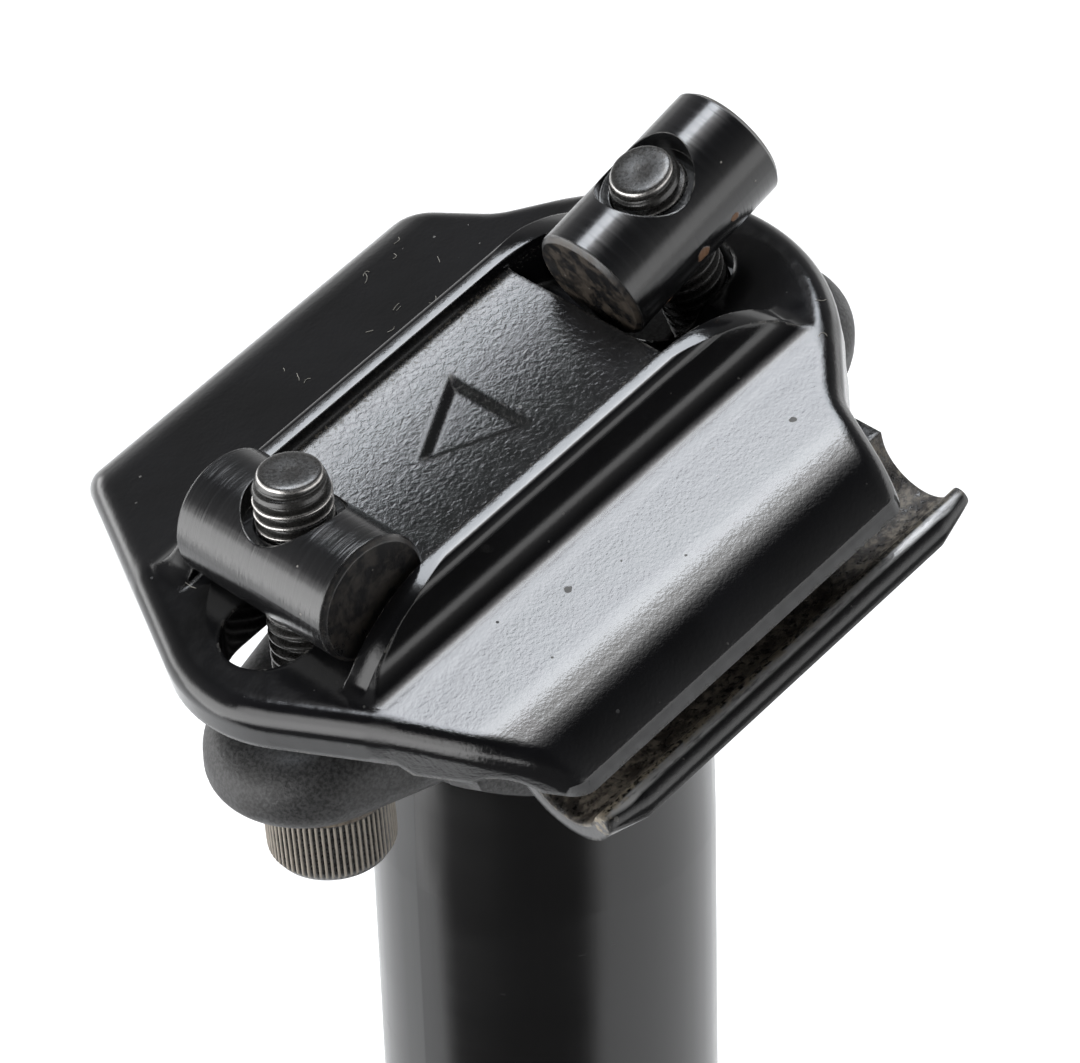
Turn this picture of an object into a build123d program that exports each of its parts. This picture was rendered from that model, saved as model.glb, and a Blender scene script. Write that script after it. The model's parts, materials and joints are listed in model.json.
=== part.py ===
"""Bicycle seatpost with a two-bolt saddle clamp: tube, forged head, rail cradle,
upper clamp, and two bolts that pull on barrel nuts to hold and tilt the clamp."""
import os
from math import acos, asin, atan2, cos, degrees, hypot, radians, sin, sqrt, tan

from build123d import *

os.makedirs("parts", exist_ok=True)

# Post: the tube stands on z = 0 with its axis on +Z, and +X points to the front of the bicycle.
TUBE_D = 27.2            # outside diameter that the frame clamps
TUBE_WALL = 2.0
TILT_AXIS_Z = 346.0      # height of the axis that the clamp tilts about
HEAD_BASE = 14.9         # tube end, measured down from the tilt axis
SPIGOT_LENGTH = 30.0     # part of the head bonded into the tube
SPIGOT_BORE = 14.0
BOND_GAP = 0.05          # radial room for the bond between spigot and tube
TUBE_CHAMFER = 0.8       # deburring of the bore at the lower end
NECK_LENGTH = 12.0       # slight taper at the bonded end, above the reach of the frame's collar
NECK_D = 26.8

# Clamp angle: the clamp plane leans nose-down from square to the tube.
CLAMP_ANGLE = 14.7

# Saddle rails that the clamp is made for.
RAIL_D = 7.0
RAIL_SPACING = 44.0
RAIL_CLEAR = 0.05        # radial room between a rail and its groove

# Head: a trough for the rocker between a front ear and a rear ear.
ROCKER_R = 11.0
ROCKER_GAP = 0.3
TROUGH_RIM = 4.0         # flat beside the trough, below the tilt axis
TROUGH_FLAT = 13.5       # half length of that flat along the clamp
EAR_RAMP = 3.0           # run of the slope from the flat up to an ear
EAR_R = 7.9
FLARE = 40.0             # slope at which the head widens from the tube
FLARE_START = 0.3        # the undersides of the ears reach this close to the tube
EAR_TOP = 2.9            # top of the ears, above the tilt axis
EAR_EDGE = 2.0           # rounding of the ears' lower outline
EAR_CROWN = 3.2          # rounding of their upper outline
FOOT_FLAT = 6.2          # half width of the flat that a bolt head bears up against
EAR_SLOT = 9.4           # slot for the bolt through an ear, along the post
EAR_SLOT_W = 6.8

# Cradle: two rail troughs joined by a web with a rocker below and a spine above.
CRADLE_LENGTH = 38.7
CRADLE_SHIFT = -0.75     # the troughs sit this far forward of the tilt axis
CRADLE_RAIL_Z = 2.9      # rail axis above the tilt axis
LIP_WALL = 2.4
LIP_END_WALL = 1.5       # the troughs thin out to this at both ends
THIN_LENGTH = 3.5
LIP_ANGLE = 22.0         # the outer lip stops this far below the level of the rail axis
UNDER_TURN = 150.0       # how far the round underside reaches inward from the rail's level
INNER_WALL = 3.0
INNER_WALL_TOP = 0.9     # inner wall above the rail axis
WEB_LENGTH = 25.0
WEB_BOTTOM = 1.0         # underside of the web, below the tilt axis
ROCKER_WIDTH = 25.0
SPINE_LENGTH = 22.0
SPINE_WIDTH = 16.0

# Upper clamp: a plate with turned-down wings, a raised bridge and two noses.
UPPER_SHIFT = 2.3        # it sits this far forward of the cradle
UPPER_LIFT = 1.2         # and stands this far above its closed height
WING_FRONT = 17.6        # front corners of the wings, from the middle of the clamp
WING_REAR = 15.6
WING_WALL = 2.5          # metal over the rail
WING_EDGE = 2.6          # lower edge of the wing, above the rail axis
WING_CORNER = 3.0
NOSE_FRONT = 29.5        # nose tips, from the middle of the clamp
NOSE_REAR = 30.4
NOSE_R = 13.0            # rounding of the front nose in plan
TAIL_R = 19.0            # the rear nose is blunter
ROOT_X = 19.8            # rear inner corner between nose and wings
ROOT_Y = 18.4
ROOT_R = 6.0
PLATE_UNDER = 3.5        # underside of the plate, above the rail axis
PLATE_THICK = 3.6
CREASE_R = 8.0           # rounding between the level part of the plate and the wings
CREASE_ROOM = 0.2        # the wings start this far outside the ridges
RIM_R = 1.8              # rounding of the outer top edge
BRIDGE_HEIGHT = 4.7
BRIDGE_FLAT = 23.6       # length of the level top of the bridge
BRIDGE_END_R = 14.7      # round fall of the bridge to the noses
RIDGE_HALF = 10.5        # outer half width of the ridges at their crest
RIDGE_DRAFT = 8.0        # slope of the outer flanks from upright
RIDGE_CREST_R = 0.9
RIDGE_FOOT_R = 2.2
BRIDGE_TAIL_R = 2.5      # hollow run-out of that fall on to the noses
FOOT_SINK = 0.03         # the ridge feet and the run-outs end this far below the plate
CHANNEL_HALF = 8.7
CHANNEL_DEPTH = 1.3
CHANNEL_R = 0.6
NUT_SPACING = 35.3
NUT_SINK = 0.8           # depth of a nut seat in the plate
SLOT_W = 7.6             # bolt slot in the nose
SLOT_IN = 14.3           # slot ends, from the middle of the clamp
SLOT_OUT = 25.8
MARK_LENGTH = 8.0        # recessed triangle that points forward
MARK_WIDTH = 9.2
MARK_DEPTH = 0.6
MARK_TIP = 5.9           # its tip, forward of the middle of the clamp
MARK_WALL = 0.8          # run of its sloping walls

# Bolts, barrel nuts and washers.
BOLT_D = 6.0
BOLT_LENGTH = 29.5
BOLT_HEAD_D = 10.0
BOLT_HEAD_H = 6.0
BOLT_TIP = 0.8
HEAD_CHAMFER = 0.5
HEX_KEY = 5.0
HEX_DEPTH = 3.2
NUT_D = 10.0
NUT_LENGTH = 16.3
NUT_EDGE = 0.4
NUT_SEAT_GAP = 0.1       # radial room of a nut in its seat
THREAD_GAP = 0.05        # radial room between bolt and nut
COUNTERBORE_D = 7.7
COUNTERBORE_FLOOR = 3.0  # floor of the counterbore, above the nut axis
FRONT_LEAN = -11.6       # bolt against the clamp's upright, positive forward at the top
REAR_LEAN = 8.5
FRONT_TIP = 7.75         # bolt tip above the nut axis
REAR_TIP = 5.3
REAR_NUT_BACK = 18.95    # the rear nut lies out of its seat, turned along the channel
REAR_NUT_UP = 17.95
WASHER_D = 10.4
WASHER_RIM = 1.7
WASHER_HOLE = 6.4
WASHER_DOME = 8.0        # radius of the rolled top, about a line across the post
SEAT_GAP = 0.3           # room between washer and socket

TUBE_R = TUBE_D / 2
RAIL_Y = RAIL_SPACING / 2
GROOVE_R = RAIL_D / 2 + RAIL_CLEAR
UPPER_RAIL_Z = CRADLE_RAIL_Z + UPPER_LIFT
PLATE_Z0 = UPPER_RAIL_Z + PLATE_UNDER
PLATE_Z1 = PLATE_Z0 + PLATE_THICK
BRIDGE_Z = PLATE_Z1 + BRIDGE_HEIGHT
CHANNEL_Z = BRIDGE_Z - CHANNEL_DEPTH
FOOT_Y = RIDGE_HALF + BRIDGE_HEIGHT * tan(radians(RIDGE_DRAFT))
FOOT_EDGE = FOOT_Y + RIDGE_FOOT_R
PLATE_FLAT = FOOT_EDGE + CREASE_ROOM
WING_Y = RAIL_Y + GROOVE_R + WING_WALL
NUT_R = NUT_D / 2
NUT_X = NUT_SPACING / 2
NUT_Z = PLATE_Z1 + NUT_R - NUT_SINK
DOME_CENTRE = WASHER_RIM - sqrt(WASHER_DOME**2 - (WASHER_D / 2) ** 2)
SOCKET_R = WASHER_DOME + SEAT_GAP
EAR_FOOT = WASHER_RIM + SEAT_GAP
EAR_OUT = (EAR_SLOT - EAR_SLOT_W) / 2


def clamp_place(shape):
    """Moves a shape from the clamp's own frame to the post."""
    return Pos(0, 0, TILT_AXIS_Z) * (Rot(0, CLAMP_ANGLE, 0) * shape)


def in_post(x, z):
    """A point of the clamp's middle plane in the post's x and height above the tilt axis."""
    a = radians(CLAMP_ANGLE)
    return (x * cos(a) + z * sin(a), z * cos(a) - x * sin(a))


def bolt_frame(nut_x, nut_z, lean, tip):
    """Frame of a bolt in the clamp's frame: origin under the head, +Z to the tip."""
    reach = BOLT_LENGTH - tip
    x = nut_x - reach * sin(radians(lean))
    z = nut_z - reach * cos(radians(lean))
    return Pos(x, 0, z) * Rot(0, lean, 0)


def mirror_x(shape):
    return shape + mirror(shape, Plane.YZ)


def mirror_y(shape):
    return shape + mirror(shape, Plane.XZ)


FRONT_NUT = (UPPER_SHIFT + NUT_X, NUT_Z)
REAR_NUT = (-REAR_NUT_BACK, REAR_NUT_UP)
FRONT_BOLT = bolt_frame(*FRONT_NUT, FRONT_LEAN, FRONT_TIP)
REAR_BOLT = bolt_frame(*REAR_NUT, REAR_LEAN, REAR_TIP)


def make_tube():
    length = TILT_AXIS_Z - HEAD_BASE
    straight = length - NECK_LENGTH
    tube = Pos(0, 0, straight / 2) * Cylinder(TUBE_R, straight)
    tube += Pos(0, 0, straight + NECK_LENGTH / 2) * Cone(TUBE_R, NECK_D / 2, NECK_LENGTH)
    tube -= Pos(0, 0, length / 2) * Cylinder(TUBE_R - TUBE_WALL, length)
    low = tube.edges().filter_by(GeomType.CIRCLE).group_by(Axis.Z)[0]
    return chamfer(low.sort_by(SortBy.RADIUS)[0], TUBE_CHAMFER)


def along(frame, x, z):
    """A point given in a bolt's frame, as a point of the clamp's middle plane."""
    p = (frame * Pos(x, 0, z)).position
    return (p.X, p.Z)


def straight_across(edge):
    """True for a straight edge along Y."""
    return edge.geom_type == GeomType.LINE and abs(edge.tangent_at(0.5).Y) > 0.99


def make_head():
    """Side profile crossed with the plan outline, then the trough, sockets and slots."""
    front_in = in_post(*along(FRONT_BOLT, -FOOT_FLAT, EAR_FOOT))
    front_out = in_post(*along(FRONT_BOLT, TUBE_R, EAR_FOOT))
    rear_in = in_post(*along(REAR_BOLT, FOOT_FLAT, EAR_FOOT))
    rear_out = in_post(*along(REAR_BOLT, -TUBE_R, EAR_FOOT))
    side = [
        (-TUBE_R - FLARE_START, -HEAD_BASE),
        (TUBE_R + FLARE_START, -HEAD_BASE),
        front_in,
        front_out,
        in_post(front_out[0], EAR_TOP),
        in_post(TROUGH_FLAT + EAR_RAMP, EAR_TOP),
        in_post(TROUGH_FLAT, -TROUGH_RIM),
        in_post(-TROUGH_FLAT, -TROUGH_RIM),
        in_post(-TROUGH_FLAT - EAR_RAMP, EAR_TOP),
        in_post(rear_out[0], EAR_TOP),
        rear_out,
        rear_in,
    ]
    wire = Polyline(*[(x, z + TILT_AXIS_Z) for x, z in side], close=True)
    block = extrude(make_face(Plane.XZ * wire), TUBE_R, both=True)
    front_x = in_post(*along(FRONT_BOLT, EAR_OUT, EAR_FOOT))[0]
    rear_x = in_post(*along(REAR_BOLT, -EAR_OUT, EAR_FOOT))[0]
    ears = (Pos(front_x, 0) * Rot(0, 0, 180) * Circle(EAR_R)).edges() + (Pos(rear_x, 0) * Circle(EAR_R)).edges()
    plan = make_hull(Circle(TUBE_R).edges() + ears)
    head = block & extrude(plan, TILT_AXIS_Z + TUBE_D)
    under = [f for f in head.faces() if f.normal_at().Z < -0.9 and abs(f.center().X) > TUBE_R]
    lower = [e for f in under for e in f.edges() if abs(e.tangent_at(0.5).Z) < 0.3 and abs(e.center().X) > TUBE_R]
    head = fillet([e for e in lower if not straight_across(e)], EAR_EDGE)
    tops = [f for f in head.faces() if f.normal_at().Z > 0.9 and abs(f.center().X) > TUBE_R]
    upper = [e for f in tops for e in f.edges() if not straight_across(e)]
    head = fillet(upper, EAR_CROWN)
    head -= clamp_place(Rot(90, 0, 0) * Cylinder(ROCKER_R + ROCKER_GAP, 2 * TUBE_D))
    base = TILT_AXIS_Z - HEAD_BASE
    spread = Cone(TUBE_R, TUBE_R + HEAD_BASE / tan(radians(FLARE)), HEAD_BASE)
    head -= Pos(0, 0, base + HEAD_BASE / 2) * (Box(2 * front_in[0], 2 * TUBE_D, HEAD_BASE) - spread)
    spigot_r = TUBE_R - TUBE_WALL - BOND_GAP
    head += Pos(0, 0, base - SPIGOT_LENGTH / 2) * Cylinder(spigot_r, SPIGOT_LENGTH)
    head -= Pos(0, 0, base - SPIGOT_LENGTH / 2) * Cylinder(SPIGOT_BORE / 2, SPIGOT_LENGTH)
    for frame in (FRONT_BOLT, REAR_BOLT):
        slot = extrude(SlotOverall(EAR_SLOT, EAR_SLOT_W), 2 * TUBE_D, both=True)
        head -= clamp_place(frame * slot)
        socket = Rot(90, 0, 0) * Cylinder(SOCKET_R, WASHER_D + 2 * SEAT_GAP)
        head -= clamp_place(frame * Pos(0, 0, DOME_CENTRE) * socket)
    return head


def trough_section(lip_wall):
    """Half of the cradle's end view: inner wall, rail groove and outer lip."""
    cy, cz = RAIL_Y, CRADLE_RAIL_Z
    outer = GROOVE_R + lip_wall
    mid = (GROOVE_R + outer) / 2
    tip = radians(-LIP_ANGLE)
    wall_in = cy - GROOVE_R - INNER_WALL
    wall_top = cz + INNER_WALL_TOP
    end = radians(-UNDER_TURN)
    foot = (cy + outer * cos(end), cz + outer * sin(end))
    groove = CenterArc((cy, cz), GROOVE_R, 180, 180 - LIP_ANGLE)
    lip = ThreePointArc(
        (cy + GROOVE_R * cos(tip), cz + GROOVE_R * sin(tip)),
        (cy + mid * cos(tip) - lip_wall / 2 * sin(tip), cz + mid * sin(tip) + lip_wall / 2 * cos(tip)),
        (cy + outer * cos(tip), cz + outer * sin(tip)),
    )
    under = CenterArc((cy, cz), outer, -LIP_ANGLE, LIP_ANGLE - UNDER_TURN)
    wall = Polyline(foot, (wall_in, foot[1]), (wall_in, wall_top), (cy - GROOVE_R, wall_top), (cy - GROOVE_R, cz))
    return Plane.YZ * make_face(Curve([groove, lip, under, wall]))


def make_cradle():
    half = CRADLE_LENGTH / 2
    straight = half - THIN_LENGTH
    plain = trough_section(LIP_WALL)
    trough = extrude(plain, straight, both=True)
    thin = trough_section(LIP_END_WALL)
    trough += mirror_x(loft([Pos(straight, 0, 0) * plain, Pos(half, 0, 0) * thin], ruled=True))
    cradle = Pos(CRADLE_SHIFT, 0, 0) * mirror_y(trough)
    web_half = RAIL_Y - GROOVE_R - INNER_WALL / 2
    web_top = CRADLE_RAIL_Z + INNER_WALL_TOP - INNER_WALL / 2
    web_h = web_top + WEB_BOTTOM
    cradle += Pos(0, 0, web_top - web_h / 2) * Box(WEB_LENGTH, 2 * web_half, web_h)
    rocker = Rot(90, 0, 0) * Cylinder(ROCKER_R, ROCKER_WIDTH)
    cradle += split(rocker, Plane.XY, keep=Keep.BOTTOM)
    spine_h = PLATE_Z0
    cradle += Pos(0, 0, spine_h / 2) * Box(SPINE_LENGTH, SPINE_WIDTH, spine_h)
    return cradle


def clamp_plan():
    """Plan outline of the upper clamp: wings at the sides, a rounded nose at each end."""
    front = nose_touch(NOSE_FRONT, NOSE_R, WING_FRONT, WING_Y)
    rear = nose_touch(NOSE_REAR, TAIL_R, ROOT_X, ROOT_Y)
    edges = [
        ThreePointArc(front, (NOSE_FRONT, 0), (front[0], -front[1])),
        ThreePointArc((-rear[0], rear[1]), (-NOSE_REAR, 0), (-rear[0], -rear[1])),
    ]
    for sy in (1, -1):
        ends = [front, (WING_FRONT, WING_Y), (-WING_REAR, WING_Y), (-ROOT_X, ROOT_Y), (-rear[0], rear[1])]
        edges.append(Polyline(*[(x, sy * y) for x, y in ends]))
    plan = make_face(Curve(edges))
    for level, radius in ((WING_Y, WING_CORNER), (ROOT_Y, ROOT_R)):
        plan = fillet([v for v in plan.vertices() if abs(abs(v.Y) - level) < 0.01], radius)
    return plan


def nose_touch(tip, radius, x, y):
    """Where a line from (x, y) runs tangent into the round of a nose."""
    middle = tip - radius
    turn = atan2(y, x - middle) - acos(radius / hypot(x - middle, y))
    return (middle + radius * cos(turn), radius * sin(turn))


def wing_section():
    """End view of the plate and its wings, with shallow rail grooves below."""
    cy, cz = RAIL_Y, UPPER_RAIL_Z
    outer = GROOVE_R + WING_WALL
    edge_z = cz + WING_EDGE
    edge_y = cy + sqrt(outer**2 - WING_EDGE**2)
    dy, dz = PLATE_FLAT - cy, PLATE_Z1 - cz
    reach = hypot(dy, dz)
    touch = atan2(dz, dy) - acos(outer / reach)
    mid = (touch + asin(WING_EDGE / outer)) / 2
    shoulder = (cy + outer * cos(touch), cz + outer * sin(touch))
    middle = (cy + outer * cos(mid), cz + outer * sin(mid))
    lower_y = cy - GROOVE_R - INNER_WALL
    line = Polyline(
        (edge_y, edge_z),
        (lower_y, edge_z),
        (lower_y - PLATE_Z0 + edge_z, PLATE_Z0),
        (PLATE_Z0 - edge_z - lower_y, PLATE_Z0),
        (-lower_y, edge_z),
        (-edge_y, edge_z),
    )
    right = ThreePointArc((edge_y, edge_z), middle, shoulder)
    left = ThreePointArc((-edge_y, edge_z), (-middle[0], middle[1]), (-shoulder[0], shoulder[1]))
    top = Polyline(shoulder, (PLATE_FLAT, PLATE_Z1), (-PLATE_FLAT, PLATE_Z1), (-shoulder[0], shoulder[1]))
    face = make_face(Curve([line, right, left, top]))
    crease = [v for v in face.vertices() if abs(v.Y - PLATE_Z1) < 0.01]
    return Plane.YZ * fillet(crease, CREASE_R)


def bridge():
    """Raised bridge: a flared cross-section limited by a side view with round ends."""
    half = BRIDGE_FLAT / 2
    foot = PLATE_Z1 - FOOT_SINK
    low = BRIDGE_Z - BRIDGE_END_R
    reach = BRIDGE_END_R + BRIDGE_TAIL_R
    run = sqrt(reach**2 - (foot + BRIDGE_TAIL_R - low) ** 2)
    turn = degrees(asin(run / reach))
    end = half + run
    edges = [Line((-half, BRIDGE_Z), (half, BRIDGE_Z))]
    for sign in (1, -1):
        edges.append(CenterArc((sign * half, low), BRIDGE_END_R, 90, -sign * turn))
        edges.append(CenterArc((sign * end, foot + BRIDGE_TAIL_R), BRIDGE_TAIL_R, 270 - sign * turn, sign * turn))
    edges.append(Polyline((-end, foot), (-end, PLATE_Z0), (end, PLATE_Z0), (end, foot)))
    side = extrude(make_face(Plane.XZ * Curve(edges)), RAIL_Y, both=True)
    outline = [
        (-FOOT_EDGE, PLATE_Z0),
        (-FOOT_EDGE, foot),
        (-FOOT_Y, foot),
        (-RIDGE_HALF, BRIDGE_Z),
        (RIDGE_HALF, BRIDGE_Z),
        (FOOT_Y, foot),
        (FOOT_EDGE, foot),
        (FOOT_EDGE, PLATE_Z0),
    ]
    face = make_face(Polyline(*outline, close=True))
    crest = [v for v in face.vertices() if v.Y > BRIDGE_Z - 0.1]
    face = fillet(crest, RIDGE_CREST_R)
    feet = [v for v in face.vertices() if abs(v.Y - foot) < 0.01 and abs(v.X) < FOOT_Y + 0.1]
    face = fillet(feet, RIDGE_FOOT_R)
    body = extrude(Plane.YZ * face, NOSE_REAR, both=True)
    return side & body


def make_upper():
    tall = 4 * BRIDGE_HEIGHT
    plate = extrude(wing_section(), 2 * NOSE_REAR, both=True)
    plate &= extrude(clamp_plan(), 2 * tall)
    plate = fillet([e for e in plate.edges() if on_rim(e)], RIM_R)
    upper = plate + (bridge() & extrude(offset(clamp_plan(), -1.1 * RIM_R), tall))
    floor = Pos(0, 0, CHANNEL_Z + tall / 2) * Box(NUT_SPACING, 2 * CHANNEL_HALF, tall)
    low = floor.edges().filter_by(Axis.X).group_by(Axis.Z)[0]
    upper -= fillet(low, CHANNEL_R)
    for sign in (1, -1):
        seat = Rot(90, 0, 0) * Cylinder(NUT_R + NUT_SEAT_GAP, 2 * CHANNEL_HALF)
        upper -= Pos(sign * NUT_X, 0, NUT_Z) * seat
        run = NOSE_REAR
        upper -= Pos(sign * (NUT_X + run / 2), 0, PLATE_Z1 + tall / 2) * Box(run, 2 * CHANNEL_HALF, tall)
        slot = SlotOverall(SLOT_OUT - SLOT_IN, SLOT_W)
        cutter = extrude(slot, tall, both=True)
        upper -= Pos(sign * (SLOT_IN + SLOT_OUT) / 2, 0, PLATE_Z1) * Rot(0, sign * FRONT_LEAN, 0) * cutter
    for sign in (1, -1):
        groove = Rot(0, 90, 0) * Cylinder(GROOVE_R, 4 * NOSE_REAR)
        upper -= Pos(0, sign * RAIL_Y, UPPER_RAIL_Z) * groove
    mark = Polyline(
        (MARK_TIP, 0),
        (MARK_TIP - MARK_LENGTH, MARK_WIDTH / 2),
        (MARK_TIP - MARK_LENGTH, -MARK_WIDTH / 2),
        close=True,
    )
    brim = make_face(mark)
    pan = offset(brim, -MARK_WALL, kind=Kind.INTERSECTION)
    upper -= loft([Pos(0, 0, CHANNEL_Z - MARK_DEPTH) * pan, Pos(0, 0, CHANNEL_Z) * brim], ruled=True)
    return Pos(UPPER_SHIFT, 0, 0) * upper


def on_rim(edge):
    """True for an edge of the plate's upper outline at the noses and the ends of the wings."""
    t = edge.tangent_at(0.5)
    c = edge.center()
    lengthwise = abs(abs(t.X) - 1) < 1e-6
    upright = abs(abs(t.Z) - 1) < 1e-6
    on_plate = c.Z > PLATE_Z0 + PLATE_THICK / 4
    on_wing = abs(c.Y) > RAIL_Y + WING_WALL and c.Z > UPPER_RAIL_Z + WING_EDGE + PLATE_THICK / 9
    return not lengthwise and not upright and (on_plate or on_wing)


def make_bolt():
    """Socket cap screw along +Z, its head below z = 0."""
    shank = Pos(0, 0, BOLT_LENGTH / 2) * Cylinder(BOLT_D / 2, BOLT_LENGTH)
    tip = shank.edges().filter_by(GeomType.CIRCLE).sort_by(Axis.Z)[-1]
    shank = chamfer(tip, BOLT_TIP)
    cap = Pos(0, 0, -BOLT_HEAD_H / 2) * Cylinder(BOLT_HEAD_D / 2, BOLT_HEAD_H)
    low = cap.edges().filter_by(GeomType.CIRCLE).sort_by(Axis.Z)[0]
    cap = chamfer(low, HEAD_CHAMFER)
    key = extrude(RegularPolygon(HEX_KEY / 2, 6, major_radius=False), HEX_DEPTH)
    return shank + cap - Pos(0, 0, -BOLT_HEAD_H) * key


def make_nut():
    """Barrel nut along Y with its bolt hole along Z and a counterbore on top."""
    barrel = Rot(90, 0, 0) * Cylinder(NUT_R, NUT_LENGTH)
    barrel = chamfer(barrel.edges().filter_by(GeomType.CIRCLE), NUT_EDGE)
    barrel -= Cylinder(BOLT_D / 2 + THREAD_GAP, 2 * NUT_D)
    return barrel - Pos(0, 0, COUNTERBORE_FLOOR + NUT_R) * Cylinder(COUNTERBORE_D / 2, NUT_D)


def make_washer():
    """Washer with a flat foot on the bolt head and a top that rolls in the ear's socket."""
    blank = Pos(0, 0, WASHER_DOME / 2) * Cylinder(WASHER_D / 2, WASHER_DOME)
    rolled = blank & (Pos(0, 0, DOME_CENTRE) * Rot(90, 0, 0) * Cylinder(WASHER_DOME, 2 * WASHER_D))
    return rolled - Cylinder(WASHER_HOLE / 2, 4 * WASHER_DOME)


def save(name, shape):
    shape.label = name
    export_step(shape, f"parts/{name}.step")


bolt = make_bolt()
nut = make_nut()
washer = make_washer()
front_nut_place = Pos(FRONT_NUT[0], 0, FRONT_NUT[1]) * Rot(0, FRONT_LEAN, 0)
rear_nut_place = Pos(REAR_NUT[0], 0, REAR_NUT[1]) * Rot(0, REAR_LEAN, 0) * Rot(0, 0, 90)

save("post_tube", make_tube())
save("head", make_head())
save("lower_cradle", clamp_place(make_cradle()))
save("upper_clamp", clamp_place(make_upper()))
save("front_bolt", clamp_place(FRONT_BOLT * bolt))
save("rear_bolt", clamp_place(REAR_BOLT * bolt))
save("front_barrel_nut", clamp_place(front_nut_place * nut))
save("rear_barrel_nut", clamp_place(rear_nut_place * nut))
save("front_washer", clamp_place(FRONT_BOLT * washer))
save("rear_washer", clamp_place(REAR_BOLT * washer))
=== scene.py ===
"""Looks of the bicycle seatpost: camera, studio, materials, threaded bolts and lint."""
import json
import math
import random

import bpy
import numpy as np
from mathutils import Matrix, Vector


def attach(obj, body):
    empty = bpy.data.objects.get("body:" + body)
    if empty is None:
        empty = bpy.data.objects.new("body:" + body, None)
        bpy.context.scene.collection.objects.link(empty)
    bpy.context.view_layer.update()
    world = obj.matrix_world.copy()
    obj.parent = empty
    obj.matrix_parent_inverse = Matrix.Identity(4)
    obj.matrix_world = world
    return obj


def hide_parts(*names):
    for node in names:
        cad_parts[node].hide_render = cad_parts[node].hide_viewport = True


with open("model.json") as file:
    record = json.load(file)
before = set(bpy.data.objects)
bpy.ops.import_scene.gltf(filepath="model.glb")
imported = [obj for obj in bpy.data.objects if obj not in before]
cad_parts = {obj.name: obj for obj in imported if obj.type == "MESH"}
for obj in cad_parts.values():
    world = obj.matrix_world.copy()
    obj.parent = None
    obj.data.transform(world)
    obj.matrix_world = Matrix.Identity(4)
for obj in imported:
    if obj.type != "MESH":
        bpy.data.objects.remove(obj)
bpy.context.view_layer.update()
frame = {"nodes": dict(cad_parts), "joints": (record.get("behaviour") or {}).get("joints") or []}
nodes = frame["nodes"]
joints = {j["name"]: j for j in frame["joints"]}
scene = bpy.context.scene
scene.view_settings.view_transform = "Standard"

MM = 0.001
TILT_Z = 0.346
CLAMP_TURN = math.radians(14.7)
CLAMP_FRAME = Matrix.Translation((0, 0, TILT_Z)) @ Matrix.Rotation(CLAMP_TURN, 4, "Y")


# Node helpers.

def put(tree, kind, inputs=None, **props):
    """Adds a node, sets its properties, and links or sets its inputs."""
    n = tree.nodes.new(kind)
    for key, value in props.items():
        setattr(n, key, value)
    for key, value in (inputs or {}).items():
        if isinstance(value, bpy.types.NodeSocket):
            tree.links.new(value, n.inputs[key])
        else:
            n.inputs[key].default_value = value
    return n


def calc(tree, op, a, b=0.0, clamp=False):
    return put(tree, "ShaderNodeMath", {0: a, 1: b}, operation=op, use_clamp=clamp).outputs[0]


def product(tree, *values):
    total = values[0]
    for value in values[1:]:
        total = calc(tree, "MULTIPLY", total, value)
    return total


def most(tree, *values):
    top = values[0]
    for value in values[1:]:
        top = calc(tree, "MAXIMUM", top, value)
    return top


def fade(tree, value, low, high, start=0.0, end=1.0):
    """Smooth change from start at low to end at high."""
    inputs = {"Value": value, "From Min": low, "From Max": high, "To Min": start, "To Max": end}
    return put(tree, "ShaderNodeMapRange", inputs, interpolation_type="SMOOTHSTEP").outputs[0]


def blend(tree, amount, a, b):
    """Colour a turning into b."""
    n = put(tree, "ShaderNodeMix", data_type="RGBA")
    for index, value in ((0, amount), (6, a), (7, b)):
        if isinstance(value, bpy.types.NodeSocket):
            tree.links.new(value, n.inputs[index])
        else:
            n.inputs[index].default_value = value
    return n.outputs[2]


def noise(tree, vector, scale, detail=2.0, rough=0.5, warp=0.0):
    inputs = {"Vector": vector, "Scale": scale, "Detail": detail, "Roughness": rough, "Distortion": warp}
    return put(tree, "ShaderNodeTexNoise", inputs).outputs[0]


def stretched(tree, vector, sx, sy, sz):
    return put(tree, "ShaderNodeVectorMath", {0: vector, 1: (sx, sy, sz)}, operation="MULTIPLY").outputs[0]


def specks(tree, vector, scale, share, size):
    """Sparse dots: a share of the cells holds one, each of its own size, in cells."""
    cell = put(tree, "ShaderNodeTexVoronoi", {"Vector": vector, "Scale": scale})
    pick = put(tree, "ShaderNodeSeparateColor", {0: cell.outputs["Color"]})
    radius = fade(tree, pick.outputs[0], 1 - share, 1.0, 0.0, size)
    wobble = noise(tree, vector, scale * 9, 2)
    shift = calc(tree, "MULTIPLY", calc(tree, "SUBTRACT", wobble, 0.5), size)
    reach = calc(tree, "ADD", cell.outputs["Distance"], shift)
    return calc(tree, "GREATER_THAN", radius, reach)


def material(name):
    mat = bpy.data.materials.new(name)
    mat.use_nodes = True
    tree = mat.node_tree
    return mat, tree, tree.nodes["Principled BSDF"]


def local_mm(tree, place):
    """Coordinates in millimetres in a frame fixed to the object."""
    coords = put(tree, "ShaderNodeTexCoord").outputs["Object"]
    loc, rot, _ = place.decompose()
    inputs = {"Vector": coords, "Location": loc, "Rotation": rot.to_euler(), "Scale": (MM, MM, MM)}
    return put(tree, "ShaderNodeMapping", inputs, vector_type="TEXTURE").outputs[0]


def along(tree, vector, direction):
    """Share of a vector that points along a direction."""
    inputs = {0: vector, 1: direction}
    return put(tree, "ShaderNodeVectorMath", inputs, operation="DOT_PRODUCT").outputs["Value"]


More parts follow.
